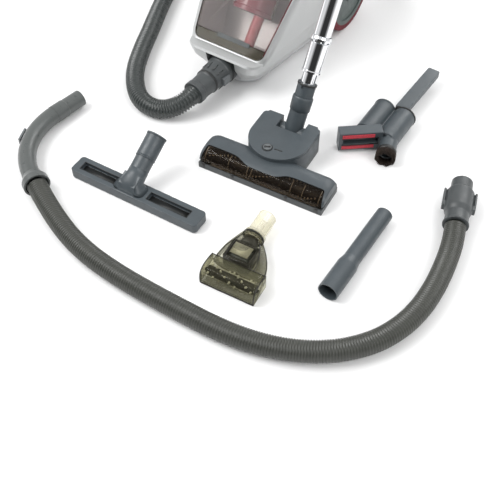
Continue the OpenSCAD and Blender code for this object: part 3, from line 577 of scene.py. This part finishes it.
dial_slot = moved(block(-7, -1.3, 0, 8, 1.3, 0.5), Matrix.Translation((6, 65, 51.3)) @ turn(4, "Z"))
dial_rim = moved(lathe([(8.7, 0), (10.4, 0), (10.4, 0.6), (8.7, 0.6)]), Matrix.Translation((-15, 62, 51.3)))
add_piece("dial_marks", *joined(dial_slot, dial_rim), HEAD, "black_trim", "power_head", slot="dark_plastic")
dial_bar = moved(block(-6, -1.2, 0, 6, 1.2, 1.0), Matrix.Translation((-15, 62, 53.4)) @ turn(35, "Z"))
add_piece("dial_bar", *dial_bar, HEAD, "black_trim", "turn_lock", slot="dark_plastic")
clips = [block(x, -0.4, 4, x + 7, 2.5, 15) for x in (-122, -60, 52, 114)]
add_piece("window_clips", *joined(*clips), HEAD, "black_trim", "power_head", slot="dark_plastic")
seam = [(x, 67.4, 13.2) for x in np.linspace(-HEAD_HALF + 6, HEAD_HALF - 6, 3)]
add_piece("head_seam", *tube_line(seam, 0.7), HEAD, "black_trim", "power_head", slot="dark_plastic")

ROLL = Matrix.Translation((0, 22, 20)) @ turn(90, "Y")
roll_skin = lathe([(0.5, -122), (4, -122), (4, -116), (12, -116), (12, 33), (8, 33), (8, 41), (12, 41),
                   (12, 116), (4, 116), (4, 122), (0.5, 122)], 40)
add_piece("brush_drum", *moved(roll_skin, ROLL), HEAD, "roller_plastic", "brush", replaces=("brush_roll",))


def helix_tufts(low, high, count, base, length, radius, twist, rows, gap=None):
    """Tufts in helical rows round a roller that lies along Z."""
    tufts = []
    for row in range(rows):
        for k in range(count):
            along = low + (high - low) * k / (count - 1)
            if gap and gap[0] < along < gap[1]:
                continue
            angle = 2 * math.pi * row / rows + twist * k / count
            out = Vector((math.cos(angle), math.sin(angle), 0))
            tufts.append(spike(out * base + Vector((0, 0, along)), out, length, radius, 0.7))
    return tufts


BELT_GAP = (30, 44)
dark_tufts = helix_tufts(-112, 112, 48, 11.5, 4.5, 1.7, 2 * math.pi, 2, BELT_GAP)
add_piece("brush_tufts", *moved(joined(*dark_tufts), ROLL), HEAD, "brush_hair", "brush")
light_tufts = helix_tufts(-110, 110, 34, 11.5, 4.4, 1.6, -2 * math.pi, 2, BELT_GAP)
add_piece("brush_light_tufts", *moved(joined(*light_tufts), ROLL @ turn(50, "Z")), HEAD, "pale_bristle",
          "brush", slot="brush_hair")

neck_ring = lathe([(17.9, 45.5), (19.8, 46.4), (20.3, 70), (19.6, 72.5), (17.9, 74)])
add_piece("sleeve_rim", *neck_ring, WAND, "blue_grey_plastic", "wand_bottom")
add_piece("sleeve_top_rim", *lathe([(17.9, 95), (18.8, 95.6), (18.8, 99.6), (17.9, 100)]), WAND,
          "black_trim", "wand_bottom", slot="dark_plastic")

# ---------------------------------------------------------------- hard-floor nozzle

NOZZLE_NECK = NOZZLE @ Matrix.Translation((-14, 10, 30)) @ turn(-62, "X")
pedestal = [ring_at(superellipse(34, 17, 4), Matrix.Translation((-14, 0, 21.4))),
            ring_at(superellipse(27, 17, 3.2), Matrix.Translation((-14, 1, 27)) @ turn(-6, "X")),
            ring_at(superellipse(21.5, 18.2, 2.4), Matrix.Translation((-14, 7, 34)) @ turn(-32, "X")),
            ring_at(superellipse(18.6, 18.6, 2), Matrix.Translation((-14, 20, 35.6)) @ turn(-60, "X")),
            ring_at(superellipse(18.4, 18.4, 2), Matrix.Translation((-14, 30, 40.6)) @ turn(-62, "X"))]
add_piece("nozzle_pedestal", *loft(pedestal), NOZZLE, "blue_grey_plastic", "hard_floor_tool")
neck_seam = lathe([(18.2, 46), (19.3, 46.4), (19.3, 48.4), (18.2, 49)])
neck_lip = lathe([(19.1, 90.5), (19.9, 91), (19.9, 94.2), (19.1, 94.4)])
add_piece("nozzle_neck_rims", *joined(neck_seam, neck_lip), NOZZLE_NECK, "blue_grey_plastic",
          "hard_floor_tool")
TROUGH_LENGTH, TROUGH_HALF = 88, 9
# Dark beads round the two trough rims and dark plates on the trough floors are painted shade: they stand in
# for the shade inside the troughs.
trough_shade_marks = []
for low_x in (-124, 26):
    high_x = low_x + TROUGH_LENGTH
    corners = [(low_x, -TROUGH_HALF), (high_x, -TROUGH_HALF), (high_x, TROUGH_HALF), (low_x, TROUGH_HALF),
               (low_x, -TROUGH_HALF)]
    for (xa, ya), (xb, yb) in zip(corners[:-1], corners[1:]):
        trough_shade_marks.append(tube_line([(xa, ya, 21.8), (xb, yb, 21.8)], 0.8))
    trough_shade_marks.append(block(low_x + 0.5, 0.5 - TROUGH_HALF, 13.9, high_x - 0.5, TROUGH_HALF - 0.5, 14.3))
add_piece("trough_painted_shade", *joined(*trough_shade_marks), NOZZLE, "black_trim", "hard_floor_tool", slot="dark_plastic")
sole_hair = [spike((x, y, 4), (0, 0, -1), 3.4, 1.2, 0.6) for y in (-17, 17) for x in range(-130, 131, 3)]
add_piece("nozzle_hair", *joined(*sole_hair), NOZZLE, "brush_hair", "hard_floor_tool")

# ---------------------------------------------------------------- mini turbo brush

MINI_HALF = 52.0
HOOD_SECTION = rounded_line([(1, 3), (0.3, 16), (3, 28), (11, 35), (22, 36.4), (34, 35.6), (45, 33)])
hood = loft([[(x, y, z) for y, z in thick_strip(HOOD_SECTION, 1.8)]
             for x in np.linspace(-MINI_HALF + 0.2, MINI_HALF - 0.2, 9)])
hood_end = [*HOOD_SECTION, (45, 3)]
ends = [loft([[(x, y, z) for y, z in hood_end] for x in pair])
        for pair in ((-MINI_HALF, -MINI_HALF + 2), (MINI_HALF - 2, MINI_HALF))]
# y, half width, half height, centre x, centre z
DOME = ((43, 48, 15.5, -1, 18), (54, 47.5, 16.5, -1, 19), (66, 45, 18, -2, 19.5), (78, 41, 19, -4, 20),
        (90, 35, 19.5, -6, 20), (100, 29, 19.8, -8, 20), (108, 23.5, 19.8, -10, 20.2),
        (114, 19.8, 19.8, -11, 20.2))
dome = loft([[(cx + u, y, max(1.2, cz + v)) for u, v in superellipse(hx, hz, 2.7)]
             for y, hx, hz, cx, cz in DOME])
add_piece("mini_shell", *joined(hood, *ends, dome), MINI, "smoky_tool", "turbo_tool", replaces=("mini_body",))
mini_lines = [tube_line([(x, y, z) for y, z in HOOD_SECTION], 1.0)
              for x in (-MINI_HALF + 0.8, MINI_HALF - 0.8)]
mini_lines.append(tube_line([(-MINI_HALF + 1, 1.4, 2.4), (MINI_HALF - 1, 1.4, 2.4)], 1.3))
mini_lines.append(tube_line([(-MINI_HALF + 1, 44.6, 32.6), (MINI_HALF - 1, 44.6, 32.6)], 0.9))
for hand in (-1, 1):
    mini_lines.append(tube_line([(cx + hand * hx * 0.97, y, cz + 3) for y, hx, hz, cx, cz in DOME], 0.9))
    upper_line = [(cx + hand * hx * 0.62, y, cz + hz * 0.93) for y, hx, hz, cx, cz in DOME[:6]]
    mini_lines.append(tube_line(upper_line, 0.7))
add_piece("mini_edges", *joined(*mini_lines), MINI, "roller_plastic", "turbo_tool")
box_walls = [block(-36, 56, 4, -33, 92, 30), block(11, 56, 4, 14, 92, 30), block(-36, 53, 4, 14, 56, 31),
             block(-36, 90, 4, 14, 93, 30), block(-33, 56, 4, 11, 90, 7)]
add_piece("mini_turbine_box", *joined(*box_walls), MINI, "roller_plastic", "turbo_tool")
VANES = 10
TURBINE_AXIS = Matrix.Translation((-11, 74, 18)) @ turn(90, "Y")
vanes = [moved(block(2, -0.7, -16, 11, 0.7, 16), TURBINE_AXIS @ turn(360 / VANES * k, "Z"))
         for k in range(VANES)]
add_piece("mini_turbine", *joined(*vanes), MINI, "grey_button", "turbo_tool")
# A pale slab just under the top of the smoky shell is a painted highlight: it stands in for the white
# highlight on the shell's top.
add_piece("mini_painted_highlight", *block(-28, 62, 31.6, 6, 86, 32.8), MINI, "pale_plastic", "turbo_tool")
duct = loft([[(-11 + u, y, 19 + v) for u, v in superellipse(hx, hz, 2.4, 32)]
             for y, hx, hz in ((93, 19, 12), (102, 16, 13), (112, 13, 13))])
add_piece("mini_duct", *duct, MINI, "roller_plastic", "turbo_tool")
mini_ring = moved(lathe([(17.5, 0), (20.8, 0.4), (20.8, 2.6), (17.5, 3)]),
                  Matrix.Translation((-11, 115, 20.2)) @ turn(-90, "X"))
add_piece("mini_ring", *mini_ring, MINI, "black_rubber", "turbo_tool")
MINI_ROLL = Matrix.Translation((0, 20, 19)) @ turn(90, "Y")
mini_drum = lathe([(0.5, -51), (3, -51), (3, -47), (9, -46), (9, 46), (3, 47), (3, 51), (0.5, 51)], 32)
add_piece("mini_drum", *moved(mini_drum, MINI_ROLL), MINI, "roller_plastic", "turbo_roller",
          replaces=("mini_roller",))
mini_tufts = helix_tufts(-41, 41, 9, 8.6, 5.6, 2.3, 1.6 * math.pi, 3)
add_piece("mini_tufts", *moved(joined(*mini_tufts), MINI_ROLL), MINI, "pale_bristle", "turbo_roller",
          slot="brush_hair")

# ---------------------------------------------------------------- combination tool

hair = []
for ring_radius, count in ((14.2, 30), (16.4, 36), (18.3, 40)):
    for k in range(count):
        angle = 2 * math.pi * (k + 0.37 * ring_radius) / count
        out = Vector((math.cos(angle), math.sin(angle), 0))
        length = 15.5 + 1.2 * math.sin(5.1 * k + ring_radius)
        root_point = out * ring_radius + Vector((0, 0, 29.5))
        hair.append(spike(root_point, out * 0.03 + Vector((0, 0, 1)), length, 1.25, 0.75))
add_piece("dusting_hair", *joined(*hair), BRUSH_COLLAR, "brush_hair", "combination_tool",
          replaces=("combo_brush",))
dusting_collar = lathe([(16.8, 22), (18.6, 22.6), (18.8, 30.5), (13, 30.8), (12.6, 28)])
add_piece("dusting_collar", *dusting_collar, BRUSH_COLLAR, "black_trim", "combination_tool",
          slot="dark_plastic")
RIGHT_BARREL = COMBO @ Matrix.Translation((20, 0, -5)) @ turn(-90, "X")
LEFT_BARREL = COMBO @ Matrix.Translation((-24, 0, -5)) @ turn(-90, "X")
rear_rim = [(21.2, 32.5), (22.9, 33), (22.9, 36.2), (21.2, 36.6)]
add_piece("right_barrel_rim", *lathe(rear_rim), RIGHT_BARREL, "black_rubber", "combination_tool")
add_piece("left_barrel_rim", *lathe(rear_rim), LEFT_BARREL, "blue_grey_plastic", "combination_tool")
joint_ring = moved(lathe([(5, 0), (12.5, 0), (12.5, 2.4), (5, 2.4)]),
                   Matrix.Translation((7, 38, -1)) @ turn(-90, "X"))
add_piece("blade_joint", *joint_ring, COMBO, "black_rubber", "combination_tool")
slot_lining = [block(-40, -15.5, -8.5, 30, -14.2, -6.5), block(-40, -15.5, 6.5, 30, -14.2, 8.5)]
add_piece("upholstery_edges", *joined(*slot_lining), UPHOLSTERY, "black_trim", "combination_tool",
          slot="dark_plastic")

# ---------------------------------------------------------------- canister

BIN_LOW, BIN_HIGH, FLARE = 82.4, 106.6, 215.0


def bin_side(hand, low, high):
    return [(hand * (BIN_LOW + (BIN_HIGH - BIN_LOW) * z / FLARE), -0.9, z) for z in np.linspace(low, high, 6)]


add_piece("bin_left_trim", *tube_line(bin_side(-1, -8, 212), 1.1), SLOPE, "brush_hair", "dust_bin",
          slot="dark_plastic")
add_piece("bin_right_trim", *tube_line(bin_side(1, -8, 212), 1.1), SLOPE, "tyre_rubber", "dust_bin",
          slot="maroon_plastic")
flap_seam = [(x, -0.6, 0.2) for x in np.linspace(-81.5, 81.5, 5)]
add_piece("bin_seam", *tube_line(flap_seam, 0.8), SLOPE, "brush_hair", "dust_bin", slot="dark_plastic")
cuff_ribs = [moved(block(26.2, -1.1, 29, 27.8, 1.1, 52), turn(30 * k + 15, "Z"))
             for k in range(12) if k not in (0, 11)]
add_piece("cuff_ribs", *joined(*cuff_ribs), INLET, "hose_plastic", "root")
cuff_rings = [lathe([(30, 14.5), (31.8, 15), (31.8, 17.6), (30, 18)]),
              lathe([(24, 60), (25.9, 60.6), (25.9, 65), (24, 65.6)])]
add_piece("cuff_rings", *joined(*cuff_rings), INLET, "black_trim", "root", slot="dark_plastic")

# ---------------------------------------------------------------- floor, light and world


def plain_material(name, colour, roughness):
    s = Shader(name, colour, roughness, specular=0.25)
    return s.material


def floor_strip(name, near, far):
    """White paper between two distances along Y."""
    mesh = bpy.data.meshes.new(name)
    corners = [(-FLOOR_HALF, near, 0), (FLOOR_HALF, near, 0), (FLOOR_HALF, far, 0), (-FLOOR_HALF, far, 0)]
    mesh.from_pydata(corners, [], [(0, 1, 2, 3)])
    mesh.materials.append(floor_paint)
    strip = bpy.data.objects.new(name, mesh)
    bpy.context.scene.collection.objects.link(strip)
    return strip


FLOOR_HALF, FLOOR_FRONT = 9.0, -1.7
floor_paint = plain_material("floor_white", (0.86, 0.86, 0.86), 0.75)
floor = floor_strip("floor", FLOOR_FRONT, FLOOR_HALF)
floor_front = floor_strip("floor_front", -FLOOR_HALF, FLOOR_FRONT)
floor_front.visible_glossy = False

# name, place in metres, aimed point, width, height, power in watts
LIGHTS = (
    ("key", (-1.6, -1.2, 2.4), (0.0, 0.0, 0.1), 1.8, 1.8, 72),
    ("fill", (2.2, -0.9, 1.9), (0.0, 0.0, 0.1), 1.4, 1.8, 30),
    ("rear", (0.4, 2.4, 1.9), (0.0, 0.1, 0.2), 2.4, 1.0, 38),
)
for light_name, place, aim, width, height, power in LIGHTS:
    light_data = bpy.data.lights.new(light_name, "AREA")
    light_data.shape = "RECTANGLE"
    light_data.size, light_data.size_y, light_data.energy = width, height, power
    light = bpy.data.objects.new(light_name, light_data)
    bpy.context.scene.collection.objects.link(light)
    light.location = place
    light.rotation_euler = (Vector(aim) - Vector(place)).to_track_quat("-Z", "Y").to_euler()

world = bpy.data.worlds.new("studio")
bpy.context.scene.world = world
world.use_nodes = True
# The room in front is darker than the paper sweep, which polished parts reflect; the backdrop is white.
DARK_TOWARDS = (0.334, -0.943, 0.0)
tree = world.node_tree
background = tree.nodes["Background"]
background.inputs["Color"].default_value = (1, 1, 1, 1)
direction = tree.nodes.new("ShaderNodeTexCoord").outputs["Generated"]
facing = tree.nodes.new("ShaderNodeVectorMath")
facing.operation = "DOT_PRODUCT"
facing.inputs[1].default_value = DARK_TOWARDS
room = tree.nodes.new("ShaderNodeMapRange")
room.inputs["From Min"].default_value = 0.55
room.inputs["From Max"].default_value = 0.85
room.inputs["To Min"].default_value = 0.82
room.inputs["To Max"].default_value = 0.04
backdrop = tree.nodes.new("ShaderNodeBackground")
backdrop.inputs["Color"].default_value = (1, 1, 1, 1)
seen = tree.nodes.new("ShaderNodeLightPath")
either = tree.nodes.new("ShaderNodeMixShader")
tree.links.new(direction, facing.inputs[0])
tree.links.new(facing.outputs["Value"], room.inputs["Value"])
tree.links.new(room.outputs[0], background.inputs["Strength"])
tree.links.new(seen.outputs["Is Camera Ray"], either.inputs[0])
tree.links.new(background.outputs[0], either.inputs[1])
tree.links.new(backdrop.outputs[0], either.inputs[2])
tree.links.new(either.outputs[0], tree.nodes["World Output"].inputs["Surface"])
bpy.context.scene.view_settings.view_transform = "Standard"
